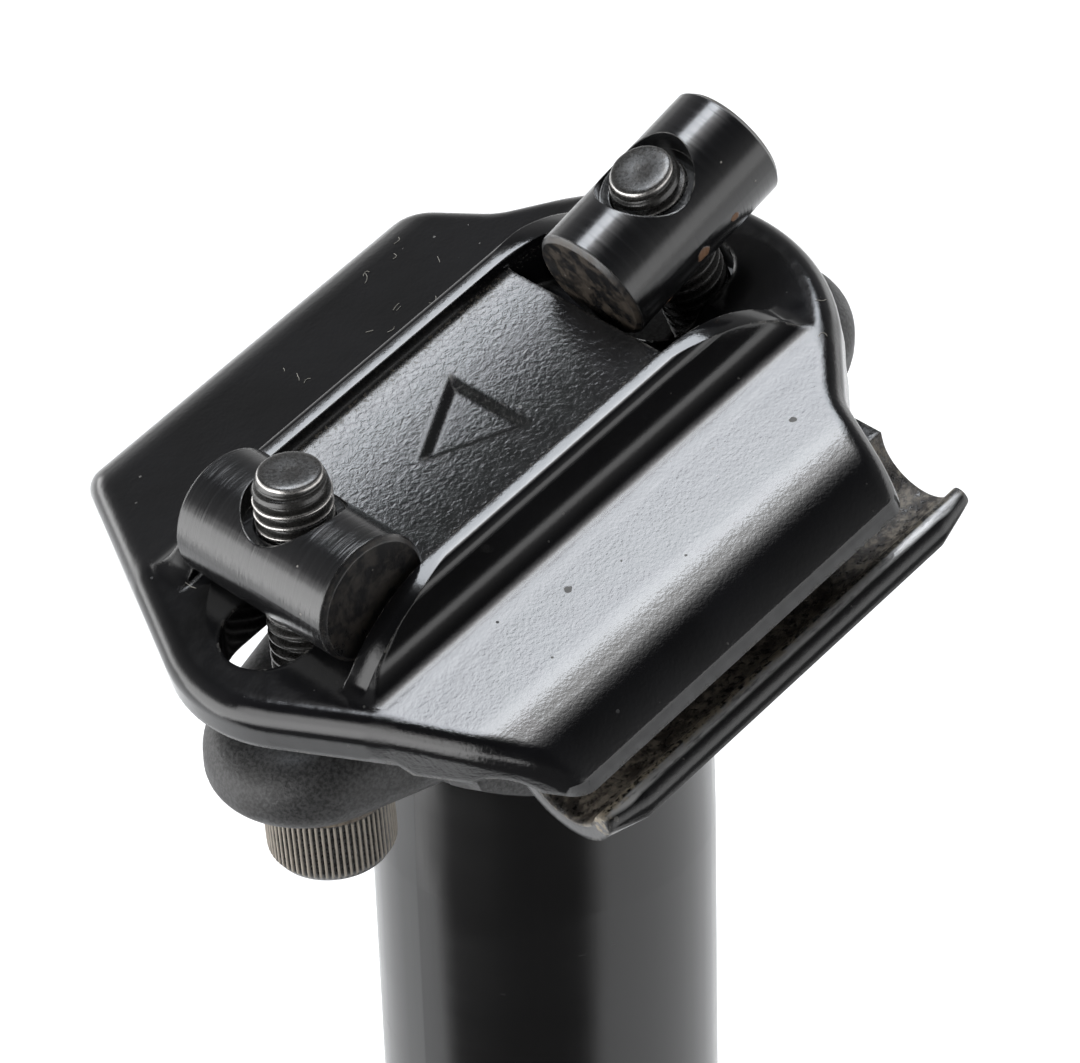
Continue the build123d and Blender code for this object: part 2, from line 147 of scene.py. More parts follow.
def worn_edge(tree, radius):
    """Softened normal, and how sharply the surface turns there."""
    soft = put(tree, "ShaderNodeBevel", {"Radius": radius}, samples=6).outputs[0]
    plain = put(tree, "ShaderNodeNewGeometry").outputs["Normal"]
    return soft, calc(tree, "SUBTRACT", 1.0, along(tree, soft, plain))


def leaned(tree, normal, across, up):
    """Normal tipped along the object's own Y and Z axes."""
    turned = {"vector_type": "VECTOR", "convert_from": "OBJECT", "convert_to": "WORLD"}
    push = put(tree, "ShaderNodeCombineXYZ", {1: across, 2: up}).outputs[0]
    push = put(tree, "ShaderNodeVectorTransform", {0: push}, **turned).outputs[0]
    moved = put(tree, "ShaderNodeVectorMath", {0: normal, 1: push}, operation="ADD").outputs[0]
    return put(tree, "ShaderNodeVectorMath", {0: moved}, operation="NORMALIZE").outputs[0]


def bump(tree, height, distance, normal=None):
    inputs = {"Height": height, "Distance": distance, "Strength": 1.0}
    if normal is not None:
        inputs["Normal"] = normal
    return put(tree, "ShaderNodeBump", inputs).outputs[0]


# Materials.

RAIL_Y = 22.0
RAIL_Z = 2.9

# Chips in the coat of the near wing: place along and across the clamp, and size, in millimetres.
CHIPS = [(8.82, 15.63, 0.36), (-13.04, 17.58, 0.32), (1.2, 20.1, 0.12), (14.0, 19.0, 0.13), (4.5, 16.8, 0.10)]


def clamp_coat():
    """Gloss black coat with orange peel, rough casting grain in the channel, dust, pits, road dirt and a
    painted highlight on the cradle's lip.
    """
    mat, t, shader = material("clamp_gloss_black")
    place = local_mm(t, CLAMP_FRAME)
    axis = put(t, "ShaderNodeSeparateXYZ", {0: place}).outputs
    side = calc(t, "ABSOLUTE", axis[1])
    crest = product(t, fade(t, side, 8.5, 8.8), fade(t, side, 10.9, 10.6), fade(t, axis[2], 11.2, 11.5))
    crease = product(t, fade(t, side, 12.4, 12.9), fade(t, side, 14.8, 14.2), fade(t, axis[2], 5.0, 6.0))
    width = fade(t, crest, 0.0, 1.0, 0.55 * MM, 0.15 * MM)
    width = calc(t, "ADD", width, calc(t, "MULTIPLY", crease, 0.5 * MM))
    soft, turn = worn_edge(t, calc(t, "ADD", width, fade(t, axis[2], 3.6, 3.0, 0.0, 0.25 * MM)))

    channel = product(t, fade(t, side, 8.9, 8.3), fade(t, axis[2], 13.6, 13.9), fade(t, axis[2], 15.2, 14.8))
    peel = noise(t, place, 3.3, 3.0, 0.6)
    wave = noise(t, place, 0.7, 1.0)
    grain = noise(t, place, 2.2, 3.0, 0.6, 0.6)
    skin = fade(t, side, 12.5, 14.5, 0.006, 0.020)
    height = calc(t, "ADD", calc(t, "MULTIPLY", peel, skin), calc(t, "MULTIPLY", wave, 0.012))
    height = calc(t, "ADD", height, product(t, grain, channel, 0.045))

    near = calc(t, "GREATER_THAN", axis[1], 0.0)
    off = calc(t, "SUBTRACT", axis[1], calc(t, "SUBTRACT", calc(t, "MULTIPLY", near, 18.5), 10.3))
    slant = calc(t, "SUBTRACT", calc(t, "MULTIPLY", axis[0], 0.0012), calc(t, "MULTIPLY", axis[1], 0.016))
    dish = product(t, channel, calc(t, "ADD", slant, 0.045))
    foot = product(t, fade(t, side, 12.2, 13.2), fade(t, side, 14.6, 13.4), fade(t, axis[2], 4.6, 5.4))
    reach = calc(t, "ADD", side, calc(t, "MULTIPLY", axis[0], 0.02))
    roll = product(t, fade(t, reach, 19.0, 22.6), fade(t, side, 27.6, 24.8), fade(t, axis[2], 5.5, 6.5))
    roll = product(t, near, roll, 0.17)
    outward = calc(t, "ADD", product(t, calc(t, "SIGN", axis[1]), foot, 0.09), roll)
    lean = calc(t, "ADD", calc(t, "ADD", dish, outward), product(t, off, crest, 0.11))
    hem = product(t, fade(t, side, 26.0, 26.8), fade(t, axis[2], 7.7, 7.4), fade(t, axis[2], 5.5, 6.2))
    bead = product(t, fade(t, side, 26.4, 27.0), fade(t, axis[2], -1.1, -0.7), fade(t, axis[2], 1.6, 1.0))
    lift = calc(t, "ADD", calc(t, "MULTIPLY", hem, -0.9), calc(t, "MULTIPLY", bead, 1.05))

    patch = noise(t, place, 0.12, 2.0)
    dusty = fade(t, axis[1], -9.0, -14.0, 0.35, 1.0)
    fine = product(t, specks(t, place, 0.9, 0.30, 0.11), fade(t, patch, 0.35, 0.6), dusty)
    coarse = product(t, specks(t, place, 0.28, 0.25, 0.07), dusty)
    dust = calc(t, "MAXIMUM", calc(t, "MULTIPLY", fine, 0.5), calc(t, "MULTIPLY", coarse, 0.8))
    apart = put(t, "ShaderNodeVectorMath", {0: place, 1: (31.0, 7.0, 3.0)}).outputs[0]
    pits = specks(t, apart, 0.42, 0.4, 0.055)
    height = calc(t, "SUBTRACT", height, calc(t, "MULTIPLY", pits, 0.02))

    corner = product(t, fade(t, side, 6.9, 8.6), channel)
    grime = product(t, corner, fade(t, noise(t, place, 3.0, 3.0, 0.7), 0.52, 0.66))
    dy = calc(t, "SUBTRACT", side, RAIL_Y)
    dz = calc(t, "SUBTRACT", axis[2], RAIL_Z)
    to_rail = calc(t, "SQRT", calc(t, "ADD", product(t, dy, dy), product(t, dz, dz)))
    groove = product(t, fade(t, to_rail, 3.85, 3.65), fade(t, axis[2], 6.0, 5.0))
    grit = noise(t, place, 1.6, 5.0, 0.75)
    groove_dirt = product(t, groove, fade(t, grit, 0.36, 0.58, 0.12, 1.0))
    wear = product(t, fade(t, turn, 0.05, 0.16), fade(t, noise(t, place, 0.8, 3.0, 0.6), 0.5, 0.62))
    low = product(t, fade(t, axis[2], 3.4, 3.0), fade(t, axis[2], 0.0, 0.5))
    # Painted highlight: a pale, broken strip along the top of the cradle's lip stands in for a reflection
    # there.
    lip_highlight_breakup = noise(t, stretched(t, place, 0.5, 2.5, 2.5), 1.0, 4.0, 0.7)
    lip_highlight_band = product(t, fade(t, axis[2], 1.85, 2.1), fade(t, side, 26.1, 26.35), fade(t, side, 27.05, 26.8))
    lip_highlight = product(t, low, lip_highlight_band, fade(t, lip_highlight_breakup, 0.3, 0.55, 0.35, 1.0))
    caked = product(t, low, fade(t, side, 25.0, 25.3), fade(t, side, 26.7, 26.3), fade(t, grit, 0.43, 0.59))
    caked = product(t, caked, fade(t, axis[0], -12.0, 4.0, 0.3, 1.0))
    chips = 0.0
    plan = stretched(t, place, 1, 1, 0)
    for u, v, size in CHIPS:
        gap = put(t, "ShaderNodeVectorMath", {0: plan, 1: (u, v, 0)}, operation="DISTANCE").outputs["Value"]
        ragged = calc(t, "ADD", gap, calc(t, "MULTIPLY", noise(t, place, 3.0, 2.0), size))
        chip = product(t, fade(t, ragged, size * 1.5, size * 1.3), fade(t, axis[2], 8.0, 9.0))
        chips = most(t, chips, chip)

    tone = blend(t, fade(t, patch, 0.3, 0.7), (0.0045, 0.0045, 0.005, 1), (0.0075, 0.0075, 0.0085, 1))
    tone = blend(t, dust, tone, (0.30, 0.29, 0.27, 1))
    tone = blend(t, calc(t, "MULTIPLY", grime, 0.7), tone, (0.17, 0.145, 0.11, 1))
    clods = fade(t, noise(t, place, 0.9, 4.0, 0.7), 0.4, 0.62)
    earth = blend(t, clods, (0.035, 0.027, 0.02, 1), (0.23, 0.20, 0.16, 1))
    tone = blend(t, groove_dirt, tone, earth)
    tone = blend(t, calc(t, "MULTIPLY", wear, 0.55), tone, (0.30, 0.285, 0.26, 1))
    # Painted highlight along the top of the cradle's lip.
    tone = blend(t, calc(t, "MULTIPLY", lip_highlight, 0.8), tone, (0.58, 0.58, 0.58, 1))
    tone = blend(t, chips, tone, (0.10, 0.097, 0.09, 1))
    tone = blend(t, calc(t, "MULTIPLY", caked, 0.8), tone, (0.36, 0.31, 0.23, 1))
    t.links.new(tone, shader.inputs["Base Color"])

    rough = fade(t, wave, 0.3, 0.7, 0.085, 0.13)
    rough = calc(t, "ADD", rough, calc(t, "MULTIPLY", channel, 0.10))
    dull = most(t, calc(t, "MULTIPLY", grime, 0.8), calc(t, "MULTIPLY", wear, 0.5))
    dull = most(t, dull, dust, pits, groove_dirt, caked, chips)
    rough = calc(t, "ADD", rough, calc(t, "MULTIPLY", dull, 0.55), clamp=True)
    t.links.new(rough, shader.inputs["Roughness"])
    shader.inputs["IOR"].default_value = 1.62
    height = calc(t, "ADD", height, calc(t, "MULTIPLY", groove_dirt, 0.03))
    t.links.new(bump(t, height, MM, leaned(t, soft, lean, lift)), shader.inputs["Normal"])
    return mat


def head_blasted():
    """Matte black forging with a fine blasted grain, dusty round the front bolt."""
    mat, t, shader = material("head_matte_black")
    place = local_mm(t, Matrix.Translation((0, 0, TILT_Z)))
    soft, turn = worn_edge(t, 0.5 * MM)
    grain = noise(t, place, 3.6, 2.0, 0.6)
    patch = noise(t, place, 0.35, 3.0, 0.6)
    bolt = local_mm(t, bolt_place("front"))
    b = put(t, "ShaderNodeSeparateXYZ", {0: bolt}).outputs
    from_axis = calc(t, "SQRT", calc(t, "ADD", product(t, b[0], b[0]), product(t, b[1], b[1])))
    near = product(t, fade(t, from_axis, 9.5, 6.0), fade(t, b[2], 3.8, 1.6))
    dust = product(t, near, fade(t, noise(t, place, 1.3, 4.0, 0.7), 0.44, 0.62))
    wear = product(t, fade(t, turn, 0.04, 0.14), fade(t, patch, 0.5, 0.64))
    tone = blend(t, fade(t, grain, 0.3, 0.7), (0.012, 0.012, 0.0125, 1), (0.060, 0.060, 0.061, 1))
    tone = blend(t, fade(t, patch, 0.4, 0.7, 0.0, 0.25), tone, (0.05, 0.047, 0.044, 1))
    tone = blend(t, calc(t, "MULTIPLY", dust, 0.75), tone, (0.23, 0.21, 0.18, 1))
    tone = blend(t, calc(t, "MULTIPLY", wear, 0.35), tone, (0.2, 0.19, 0.18, 1))
    t.links.new(tone, shader.inputs["Base Color"])
    t.links.new(fade(t, patch, 0.3, 0.7, 0.42, 0.56), shader.inputs["Roughness"])
    height = calc(t, "ADD", calc(t, "MULTIPLY", grain, 0.045), calc(t, "MULTIPLY", patch, 0.02))
    t.links.new(bump(t, height, MM, soft), shader.inputs["Normal"])
    return mat


def tube_anodised():
    """Satin black anodised tube, drawn lengthwise, with faint scuffs."""
    mat, t, shader = material("tube_satin_black")
    place = local_mm(t, Matrix.Identity(4))
    lines = noise(t, stretched(t, place, 1.6, 1.6, 0.03), 1.0, 3.0, 0.6)
    smear = noise(t, stretched(t, place, 0.05, 0.05, 0.16), 1.0, 3.0, 0.6, 0.5)
    fleck = specks(t, place, 0.35, 0.2, 0.05)
    rubs = noise(t, stretched(t, place, 0.3, 0.3, 1.6), 1.0, 4.0, 0.7)
    scuff = product(t, fade(t, rubs, 0.66, 0.74), fade(t, smear, 0.5, 0.65))
    tone = blend(t, lines, (0.0022, 0.0022, 0.0025, 1), (0.0045, 0.0043, 0.0043, 1))
    tone = blend(t, calc(t, "MULTIPLY", scuff, 0.25), tone, (0.09, 0.085, 0.08, 1))
    tone = blend(t, calc(t, "MULTIPLY", fleck, 0.3), tone, (0.25, 0.24, 0.22, 1))
    t.links.new(tone, shader.inputs["Base Color"])
    rough = fade(t, smear, 0.3, 0.7, 0.165, 0.205)
    rough = calc(t, "ADD", rough, calc(t, "MULTIPLY", most(t, scuff, fleck), 0.2))
    t.links.new(rough, shader.inputs["Roughness"])
    shader.inputs["IOR"].default_value = 1.6
    soft, _ = worn_edge(t, 0.2 * MM)
    t.links.new(bump(t, calc(t, "MULTIPLY", lines, 0.003), MM, soft), shader.inputs["Normal"])
    return mat


def nut_steel(name, place, spots, soil):
    """Black oxide barrel nut: turning lines round its length, dirt on the end faces, rust spots."""
    mat, t, shader = material(name)
    at = local_mm(t, place)
    axis = put(t, "ShaderNodeSeparateXYZ", {0: at}).outputs
    soft, turn = worn_edge(t, 0.18 * MM)
    lines = noise(t, stretched(t, at, 0.10, 5.0, 0.10), 1.0, 3.0, 0.7)
    bands = noise(t, stretched(t, at, 0.06, 1.6, 0.06), 1.0, 2.0)
    patch = noise(t, at, 0.5, 3.0, 0.6)
    end = fade(t, calc(t, "ABSOLUTE", axis[1]), 7.7, 8.0)
    dirt = product(t, end, fade(t, noise(t, at, 0.8, 4.0, 0.7), 0.42, 0.62))
    tiny = product(t, specks(t, at, 0.8, 0.2, 0.09), 0.6)
    rust = 0.0
    for x, y, z, size in spots:
        gap = put(t, "ShaderNodeVectorMath", {0: at, 1: (x, y, z)}, operation="DISTANCE").outputs["Value"]
        wobble = calc(t, "SUBTRACT", noise(t, at, 2.2, 3.0), 0.5)
        ragged = calc(t, "ADD", gap, calc(t, "MULTIPLY", wobble, size * 1.1))
        rust = most(t, rust, fade(t, ragged, size, size * 0.7))
    wear = product(t, fade(t, turn, 0.04, 0.14), fade(t, patch, 0.46, 0.6))
    tone = blend(t, lines, (0.006, 0.006, 0.0065, 1), (0.014, 0.014, 0.015, 1))
    tone = blend(t, calc(t, "MULTIPLY", dirt, soil), tone, (0.11, 0.085, 0.06, 1))
    tone = blend(t, tiny, tone, (0.33, 0.31, 0.28, 1))
    tone = blend(t, calc(t, "MULTIPLY", wear, 0.6), tone, (0.33, 0.32, 0.30, 1))
    oxide = blend(t, noise(t, at, 3.5, 3.0, 0.7), (0.09, 0.035, 0.012, 1), (0.33, 0.17, 0.08, 1))
    tone = blend(t, rust, tone, oxide)
    t.links.new(tone, shader.inputs["Base Color"])
    rough = calc(t, "ADD", fade(t, lines, 0.3, 0.7, 0.13, 0.23), calc(t, "MULTIPLY", end, 0.12))
    dull = most(t, rust, tiny, calc(t, "MULTIPLY", dirt, soil))
    rough = calc(t, "ADD", rough, calc(t, "MULTIPLY", dull, 0.5), clamp=True)
    t.links.new(rough, shader.inputs["Roughness"])
    shader.inputs["IOR"].default_value = 1.7
    height = calc(t, "ADD", calc(t, "MULTIPLY", lines, 0.020), calc(t, "MULTIPLY", bands, 0.02))
    height = calc(t, "MULTIPLY", height, calc(t, "SUBTRACT", 1.0, calc(t, "MULTIPLY", end, 0.8)))
    height = calc(t, "ADD", height, calc(t, "MULTIPLY", rust, 0.05))
    t.links.new(bump(t, height, MM, soft), shader.inputs["Normal"])
    return mat


def bolt_steel():
    """Blackened steel, rubbed bright on the thread crests and dusty on the knurl."""
    mat, t, shader = material("bolt_worn_steel")
    coords = put(t, "ShaderNodeTexCoord").outputs["Object"]
    at = put(t, "ShaderNodeVectorMath", {0: coords, "Scale": 1000.0}, operation="SCALE").outputs[0]
    crest = put(t, "ShaderNodeAttribute", attribute_name="crest").outputs["Fac"]
    knurl = put(t, "ShaderNodeAttribute", attribute_name="knurl").outputs["Fac"]
    tip = put(t, "ShaderNodeAttribute", attribute_name="tip").outputs["Fac"]
    patch = noise(t, at, 0.9, 4.0, 0.65)
    scratch = noise(t, at, 4.0, 4.0, 0.7)
    length = put(t, "ShaderNodeSeparateXYZ", {0: at}).outputs[2]
    uneven = calc(t, "MULTIPLY", calc(t, "SUBTRACT", patch, 0.5), 0.4)
    bright = fade(t, calc(t, "ADD", crest, uneven), 0.70, 0.96)
    metal = product(t, bright, calc(t, "SUBTRACT", 1.0, knurl), fade(t, length, 20.0, 24.5, 0.06, 1.0))
    tone = blend(t, scratch, (0.012, 0.012, 0.012, 1), (0.035, 0.033, 0.03, 1))
    tone = blend(t, metal, tone, (0.62, 0.60, 0.58, 1))
    dusty = product(t, knurl, fade(t, calc(t, "ADD", crest, calc(t, "MULTIPLY", patch, 0.7)), 0.75, 1.4))
    tone = blend(t, dusty, tone, (0.34, 0.30, 0.25, 1))
    ends = product(t, tip, fade(t, patch, 0.45, 0.62))
    tone = blend(t, calc(t, "MULTIPLY", ends, 0.5), tone, (0.10, 0.095, 0.09, 1))
    t.links.new(tone, shader.inputs["Base Color"])
    t.links.new(most(t, metal, calc(t, "MULTIPLY", ends, 0.7)), shader.inputs["Metallic"])
    rough = calc(t, "ADD", fade(t, scratch, 0.3, 0.7, 0.2, 0.36), calc(t, "MULTIPLY", dusty, 0.4))
    t.links.new(rough, shader.inputs["Roughness"])
    shader.inputs["IOR"].default_value = 1.7
    t.links.new(bump(t, calc(t, "MULTIPLY", scratch, 0.012), MM), shader.inputs["Normal"])
    return mat


def washer_steel():
    """Dull washer, brown with dirt."""
    mat, t, shader = material("washer_dirty_steel")
    at = local_mm(t, Matrix.Identity(4))
    patch = noise(t, at, 1.2, 4.0, 0.7)
    fine = noise(t, at, 5.0, 3.0, 0.6)
    tone = blend(t, fade(t, patch, 0.35, 0.65), (0.05, 0.038, 0.028, 1), (0.22, 0.18, 0.135, 1))
    tone = blend(t, fade(t, fine, 0.55, 0.8, 0.0, 0.5), tone, (0.33, 0.31, 0.28, 1))
    t.links.new(tone, shader.inputs["Base Color"])
    t.links.new(fade(t, patch, 0.3, 0.7, 0.45, 0.7), shader.inputs["Roughness"])
    t.links.new(bump(t, calc(t, "MULTIPLY", fine, 0.02), MM), shader.inputs["Normal"])
    return mat


def lint_fibre():
    mat, t, shader = material("lint_pale")
    at = local_mm(t, Matrix.Identity(4))
    tone = blend(t, noise(t, at, 1.0, 2.0), (0.17, 0.16, 0.14, 1), (0.42, 0.40, 0.35, 1))
    t.links.new(tone, shader.inputs["Base Color"])
    shader.inputs["Roughness"].default_value = 0.8
    return mat


# Bolts: helical thread, rounded tip, knurled head and hexagon socket, in millimetres.

THREAD_R = 2.97
ROOT_R = 2.42
PITCH = 1.0
BOLT_LENGTH = 29.5
HEAD_R = 4.97
KNURLS = 66
TIPS = {"front": 7.75, "rear": 5.3}


def bolt_place(which):
    """Frame of a bolt: origin under its head, +Z to the tip."""
    nut = Vector(joints[which + "_nut_swing"]["pos_m"])
    up = Vector(joints[which + "_bolt_advance"]["axis"]).normalized()
    origin = nut - up * (BOLT_LENGTH - TIPS[which]) * MM
    across = Vector((0, 1, 0))
    turn = Matrix((across.cross(up), across, up)).transposed().to_4x4()
    return Matrix.Translation(origin) @ turn


def grid_faces(rows, columns, start):
    """Quads of a closed tube of rows, from vertex number start."""
    r = np.arange(rows - 1)[:, None] * columns
    c = np.arange(columns)[None, :]
    a = start + r + c
    b = start + r + (c + 1) % columns
    return np.stack([a, b, b + columns, a + columns], -1).reshape(-1, 4).tolist()


def thread_shell():
    """Rows of the threaded shank from inside the head to the tip."""
    columns = 60
    theta = np.arange(columns) * 2 * np.pi / columns
    z = np.arange(-1.0, BOLT_LENGTH - 0.35, PITCH / 16)
    phase = (z[:, None] / PITCH - theta[None, :] / (2 * np.pi)) % 1.0
    ramp = np.clip((np.abs(phase - 0.5) * 2 - 0.16) / 0.68, 0, 1)
    ridge = ramp * ramp * (3 - 2 * ramp)
    radius = ROOT_R + (THREAD_R - ROOT_R) * ridge
    lead = np.clip((BOLT_LENGTH - z) / 1.9, 0, 1)[:, None]
    limit = 2.2 + (THREAD_R - 2.2) * lead ** 0.75
    crest = ridge * (radius <= limit + 0.02) + 0.55 * (radius > limit + 0.02)
    radius = np.minimum(radius, limit)
    points = np.stack([radius * np.cos(theta), radius * np.sin(theta), np.repeat(z[:, None], columns, 1)], -1)
    rim = np.clip((z - (BOLT_LENGTH - 0.8)) / 0.4, 0, 1)[:, None]
    crest = np.maximum(crest, rim * 0.95)
    rows = [points]
    crests = [crest]
    tips = [np.zeros_like(crest)]
    for share, rise in ((0.97, 0.12), (0.9, 0.2), (0.78, 0.24), (0.55, 0.26), (0.3, 0.24), (0.06, 0.2)):
        ring = points[-1] * np.array([share, share, 1.0])
        ring = ring + np.array([0, 0, rise])
        rows.append(ring[None])
        crests.append(np.full((1, columns), 0.9 if share > 0.93 else 0.05))
        tips.append(np.full((1, columns), 1.0 if share < 0.93 else 0.0))
    return np.concatenate(rows), np.concatenate(crests), np.concatenate(tips)


def head_shell():
    """Rows of the knurled cap from the middle of its top round to the floor of the socket."""
    columns = KNURLS * 6
    theta = np.arange(columns) * 2 * np.pi / columns
    wave = 0.5 + 0.5 * np.cos(theta * KNURLS)
    ridge = np.clip(wave * 1.5 - 0.2, 0, 1)
    ridge = ridge * ridge * (3 - 2 * ridge)
    sixth = np.pi / 3
    hexagon = 2.5 / np.cos((theta + sixth / 2) % sixth - sixth / 2)
    rows, crests = [], []

    def row(radius, z, crest):
        rows.append(np.stack([radius * np.cos(theta), radius * np.sin(theta), np.full(columns, z)], -1))
        crests.append(np.broadcast_to(crest, columns).astype(float))

    row(np.full(columns, 0.2), -0.02, 0.0)
    row(np.full(columns, 4.2), -0.02, 0.3)
    row(np.full(columns, 4.55), -0.06, 0.4)
    steps = ((-0.2, 0.35), (-0.45, 0.9), (-0.7, 1.0), (-2.0, 1.0), (-3.5, 1.0), (-4.8, 1.0), (-5.15, 0.8))
    for z, depth in steps:
        radius = HEAD_R - 0.26 * depth + 0.26 * depth * ridge - 0.16 * (1 - depth)
        row(radius, z, ridge * min(1, depth + 0.1))
    row(np.full(columns, 4.72), -5.45, 0.5)
    row(np.full(columns, 4.55), -5.75, 0.4)
    row(np.full(columns, 4.3), -5.93, 0.35)
    row(np.full(columns, 3.6), -5.97, 0.3)
    row(hexagon + 0.12, -5.97, 0.5)
    row(hexagon, -5.85, 0.4)
    row(hexagon, -2.9, 0.0)
    row(hexagon * 0.1, -2.6, 0.0)
    return np.array(rows), np.array(crests)


def make_bolt(which, mat):
    shank, crest, tip = thread_shell()
    cap, cap_crest = head_shell()
    verts, faces, crests, tips, knurls = [], [], [], [], []
    for points, marks, ends, knurled in ((shank, crest, tip, 0.0), (cap, cap_crest, cap_crest * 0, 1.0)):
        start = len(verts)
        rows, columns = points.shape[:2]
        verts += points.reshape(-1, 3).tolist()
        walls = grid_faces(rows, columns, start)
        first = list(range(start, start + columns))
        last = list(range(start + (rows - 1) * columns, start + rows * columns))
        if knurled:
            faces += [f[::-1] for f in walls]
            faces += [first, last[::-1]]
        else:
            faces += walls
            faces += [first[::-1], last]
        crests += marks.reshape(-1).tolist()
        tips += ends.reshape(-1).tolist()
        knurls += [knurled] * (rows * columns)
    mesh = bpy.data.meshes.new(which + "_bolt_threaded")
    mesh.from_pydata([[v * MM for v in p] for p in verts], [], faces)
    for name, values in (("crest", crests), ("knurl", knurls), ("tip", tips)):
        mesh.attributes.new(name, "FLOAT", "POINT").data.foreach_set("value", values)
    mesh.polygons.foreach_set("use_smooth", [True] * len(mesh.polygons))
    mesh.materials.append(mat)
    obj = bpy.data.objects.new(which + "_bolt_threaded", mesh)
    scene.collection.objects.link(obj)
    obj.matrix_world = bolt_place(which)
    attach(obj, which + "_bolt")
    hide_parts(which + "_bolt")


# Lint: short fibres lying on the upper clamp.

def lay_lint(mat):
    """Short curled fibres dropped on to the upper clamp from above."""
    rng = random.Random(7)
    carrier = nodes["upper_clamp"]
    down = -(CLAMP_FRAME.to_3x3() @ Vector((0, 0, 1)))
    curve = bpy.data.curves.new("lint_fibres", "CURVE")
    curve.dimensions = "3D"
    curve.bevel_depth = 0.026 * MM
    curve.bevel_resolution = 1
    curve.resolution_u = 4
    zones = ((-12, 6, -24, -13, 14), (-26, -14, -9, 14, 5), (20, 28, -12, 4, 3), (-8, 12, -13, -10, 3))
    for u0, u1, v0, v1, count in zones:
        for _ in range(count):
            u, v = rng.uniform(u0, u1), rng.uniform(v0, v1)
            heading, bend = rng.uniform(0, 6.28), rng.uniform(-0.9, 0.9)
            points = []
            for _ in range(rng.randint(3, 5)):
                start = CLAMP_FRAME @ Vector((u * MM, v * MM, 30 * MM))
                hit, spot, normal, _ = carrier.ray_cast(start, down)
                if hit and normal.dot(-down) > 0.6:
                    points.append(spot + normal * 0.03 * MM)
                step = rng.uniform(0.15, 0.42)
                u += step * math.cos(heading)
                v += step * math.sin(heading)
                heading += bend + rng.uniform(-0.5, 0.5)
            if len(points) < 3 or max((b - a).length for a, b in zip(points, points[1:])) > 1.0 * MM:
                continue
            spline = curve.splines.new("NURBS")
            spline.points.add(len(points) - 1)
            for p, q in zip(spline.points, points):
                p.co = (*q, 1)
            spline.order_u = 3
            spline.use_endpoint_u = True
    obj = bpy.data.objects.new("lint_fibres", curve)
    scene.collection.objects.link(obj)
    curve.materials.append(mat)
    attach(obj, "clamp")


def dress(node, mat):
    mesh = nodes[node].data
    mesh.materials.clear()
    mesh.materials.append(mat)


def nut_place(which):
    """Frame of a barrel nut: +Y along its length, +Z along its bolt."""
    place = bolt_place(which)
    middle = place @ Vector((0, 0, (BOLT_LENGTH - TIPS[which]) * MM))
    turn = place.to_3x3()
    if which == "rear":
        turn = turn @ Matrix.Rotation(math.radians(90), 3, "Z")
    return Matrix.Translation(middle) @ turn.to_4x4()


# Rust on the rear nut: place in its frame and size, in millimetres.
REAR_SPOTS = [(4.86, -0.77, -1.17, 0.75), (4.94, 2.91, -0.76, 0.45), (4.04, -4.69, -2.95, 0.5)]

coat = clamp_coat()
dress("upper_clamp", coat)
dress("lower_cradle", coat)
dress("head", head_blasted())
dress("post_tube", tube_anodised())
dress("front_barrel_nut", nut_steel("front_nut_black_oxide", nut_place("front"), [], 0.2))
dress("rear_barrel_nut", nut_steel("rear_nut_black_oxide", nut_place("rear"), REAR_SPOTS, 0.45))
washer = washer_steel()
dress("front_washer", washer)
dress("rear_washer", washer)
steel = bolt_steel()
make_bolt("front", steel)
make_bolt("rear", steel)
lay_lint(lint_fibre())


# Studio: pale floor, soft box above and behind, camera at the photograph's angle.

FRONT = (0.893, 0.439, 0)


def make_floor():
    """Pale table top whose near edge lies in front of the post."""
    toward = Vector(FRONT).normalized()
    aside = Vector((-toward.y, toward.x, 0))
    near, far, half = 0.215, -3.0, 3.0
    corners = [toward * d + aside * s for d, s in ((near, -half), (near, half), (far, half), (far, -half))]
    mesh = bpy.data.meshes.new("floor")
    mesh.from_pydata([tuple(c) for c in corners], [], [(0, 1, 2, 3)])
    mat, t, shader = material("floor_pale")
    shader.inputs["Base Color"].default_value = (0.8, 0.8, 0.8, 1)
    shader.inputs["Roughness"].default_value = 0.9
    path = put(t, "ShaderNodeLightPath").outputs
    seen = most(t, path["Is Camera Ray"], path["Is Glossy Ray"], path["Is Transmission Ray"])
    strength = calc(t, "MULTIPLY", seen, 0.55)
    glow = put(t, "ShaderNodeEmission", {"Color": (1, 1, 1, 1), "Strength": strength})
    total = put(t, "ShaderNodeAddShader", {0: shader.outputs[0], 1: glow.outputs[0]})
    t.links.new(total.outputs[0], t.nodes["Material Output"].inputs["Surface"])
    mesh.materials.append(mat)
    obj = bpy.data.objects.new("floor", mesh)
    scene.collection.objects.link(obj)


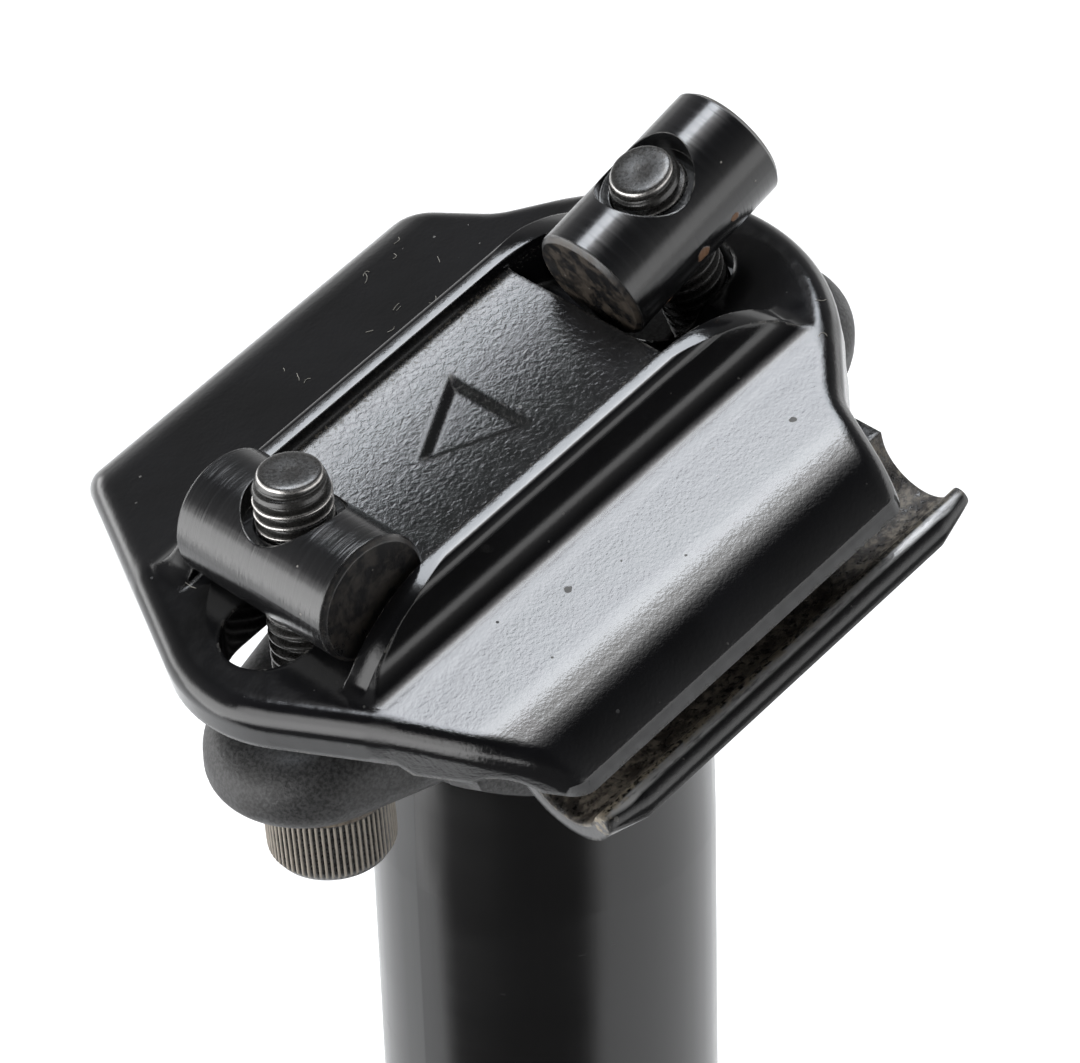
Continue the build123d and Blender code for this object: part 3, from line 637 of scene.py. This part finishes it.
def make_world():
    """White to the camera; reflections see a pale horizon, a dark ceiling and two bright sheets in front."""
    world = bpy.data.worlds.new("studio")
    world.use_nodes = True
    t = world.node_tree
    back = t.nodes["Background"]
    ray = put(t, "ShaderNodeTexCoord").outputs["Generated"]
    axis = put(t, "ShaderNodeSeparateXYZ", {0: ray}).outputs
    flat = put(t, "ShaderNodeVectorMath", {0: ray, 1: (1, 1, 0)}, operation="MULTIPLY").outputs[0]
    flat = put(t, "ShaderNodeVectorMath", {0: flat}, operation="NORMALIZE").outputs[0]
    front = along(t, flat, FRONT)
    rear = along(t, flat, (-0.55, -0.83, 0))
    around = product(t, fade(t, front, 0.72, 0.35, 0.05, 1.0), fade(t, rear, 0.7, 0.92, 1.0, 0.25))
    band = fade(t, axis[2], 0.36, 0.16)
    haze = fade(t, axis[2], 0.95, 0.25, 0.03, 0.30)
    beside = along(t, ray, (-0.15, -0.20, 0.968))
    glow = calc(t, "ADD", fade(t, beside, 0.97, 0.999, 0.0, 4.0), fade(t, beside, 0.88, 0.985, 0.0, 1.2))
    haze = product(t, haze, fade(t, front, 0.8, 0.1, 0.12, 1.0))
    level = calc(t, "ADD", product(t, band, around, 1.3), haze)
    level = calc(t, "ADD", level, glow)
    above = along(t, ray, (0.264, -0.602, 0.753))
    left = along(t, flat, (0.82, -0.57, 0))
    card = product(t, fade(t, above, -0.02, 0.02), fade(t, axis[2], 0.17, 0.12), fade(t, left, 0.3, 0.45))
    ahead = along(t, flat, (0.998, -0.06, 0))
    sheet = product(t, fade(t, axis[2], -0.52, -0.45), fade(t, axis[2], 0.62, 0.5))
    sheet = product(t, sheet, fade(t, ahead, 0.93, 0.97))
    level = most(t, level, calc(t, "MULTIPLY", card, 3.4), calc(t, "MULTIPLY", sheet, 2.8))
    path = put(t, "ShaderNodeLightPath").outputs["Is Camera Ray"]
    mix = put(t, "ShaderNodeMix", data_type="FLOAT")
    t.links.new(path, mix.inputs[0])
    t.links.new(level, mix.inputs[2])
    mix.inputs[3].default_value = 1.0
    t.links.new(mix.outputs[0], back.inputs["Strength"])
    back.inputs["Color"].default_value = (1, 1, 1, 1)
    scene.world = world


def make_lamp(name, direction, distance, size, power, color=(1, 1, 1)):
    """Soft box facing the clamp from a direction."""
    lamp = bpy.data.lights.new(name, "AREA")
    lamp.shape = "RECTANGLE"
    lamp.size, lamp.size_y = size
    lamp.energy = power
    lamp.color = color
    obj = bpy.data.objects.new(name, lamp)
    scene.collection.objects.link(obj)
    target = Vector((0, 0, 0.355))
    z = Vector(direction).normalized()
    x = Vector((1, 0, 0))
    x = (x - z * x.dot(z)).normalized()
    y = z.cross(x)
    turn = Matrix((x, y, z)).transposed().to_4x4()
    obj.matrix_world = Matrix.Translation(target + z * distance) @ turn


def make_camera():
    cam = bpy.data.cameras.new("camera")
    cam.sensor_fit = "HORIZONTAL"
    cam.sensor_width = 36.0
    cam.lens = 171.558
    cam.clip_start = 0.01
    obj = bpy.data.objects.new("camera", cam)
    scene.collection.objects.link(obj)
    right = Vector((-0.7218446666, 0.6915950646, -0.0252298207))
    down = Vector((0.4164286936, 0.4049473980, -0.8140053735))
    ahead = Vector((-0.5527453486, -0.5980918587, -0.5803091487))
    turn = Matrix((right, -down, -ahead)).transposed().to_4x4()
    obj.matrix_world = Matrix.Translation((0.2155756, 0.2338451, 0.5725419)) @ turn
    scene.camera = obj


make_floor()
make_world()
make_lamp("soft_box", (-0.165, -0.329, 0.93), 1.0, (0.85, 0.335), 6.8, (0.88, 0.93, 1.0))
make_camera()
